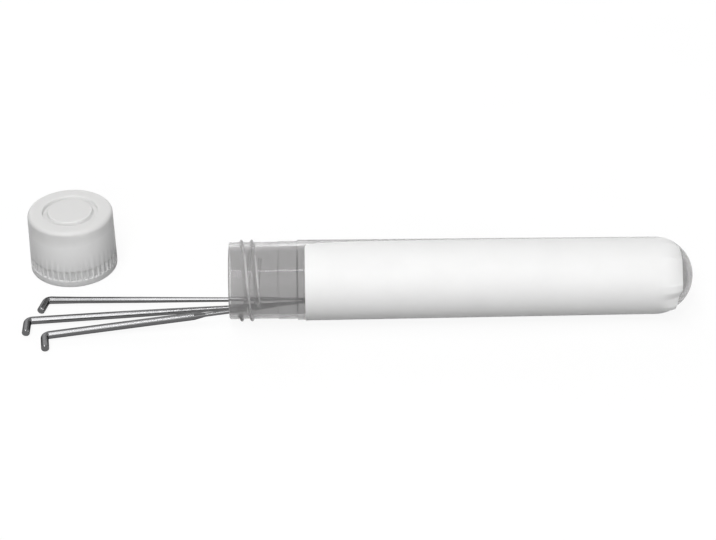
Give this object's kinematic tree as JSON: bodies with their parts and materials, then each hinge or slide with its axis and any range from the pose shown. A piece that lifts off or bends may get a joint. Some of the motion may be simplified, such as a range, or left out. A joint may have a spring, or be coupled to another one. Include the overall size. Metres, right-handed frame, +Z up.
{
  "type": "felting needle",
  "caption": "Steel felting needles with cranked ends and barbed blades, lying half out of a clear round-ended storage tube with a plain label and a ribbed screw cap.",
  "frame": {"origin": "on the table under the middle of the bounding box of the whole group", "axes": "+X along the storage tube from its open mouth towards its round end, -Y towards the side that the cranked ends point to, +Z up from the table"},
  "size_m": [0.1382, 0.0415, 0.0168],
  "materials": {
    "tube": "clear, moulded",
    "label": "matte white film, bare",
    "cap": "satin white, slightly translucent",
    "steel": "drawn steel wire"
  },
  "bodies": {
    "storage_tube": {"tube": "tube", "label": "label"},
    "screw_cap": {"cap": "cap"},
    "fine": {"fine_needle": "steel"},
    "medium": {"medium_needle": "steel"},
    "coarse": {"coarse_needle": "steel"}
  },
  "joints": [
    {"name": "cap_lift", "type": "slide", "parent": "storage_tube", "child": "screw_cap", "axis": [0, 0, 1], "range_m": [0, 0.03]},
    {"name": "fine_slide", "type": "slide", "parent": "storage_tube", "child": "fine", "axis": [-0.9961, 0.0879, 0], "range_m": [-0.0015, 0.04]},
    {"name": "medium_slide", "type": "slide", "parent": "storage_tube", "child": "medium", "axis": [-0.999, -0.0427, -0.014], "range_m": [-0.0015, 0.036]},
    {"name": "coarse_slide", "type": "slide", "parent": "storage_tube", "child": "coarse", "axis": [-0.9943, -0.1063, 0], "range_m": [-0.004, 0.04]}
  ]
}
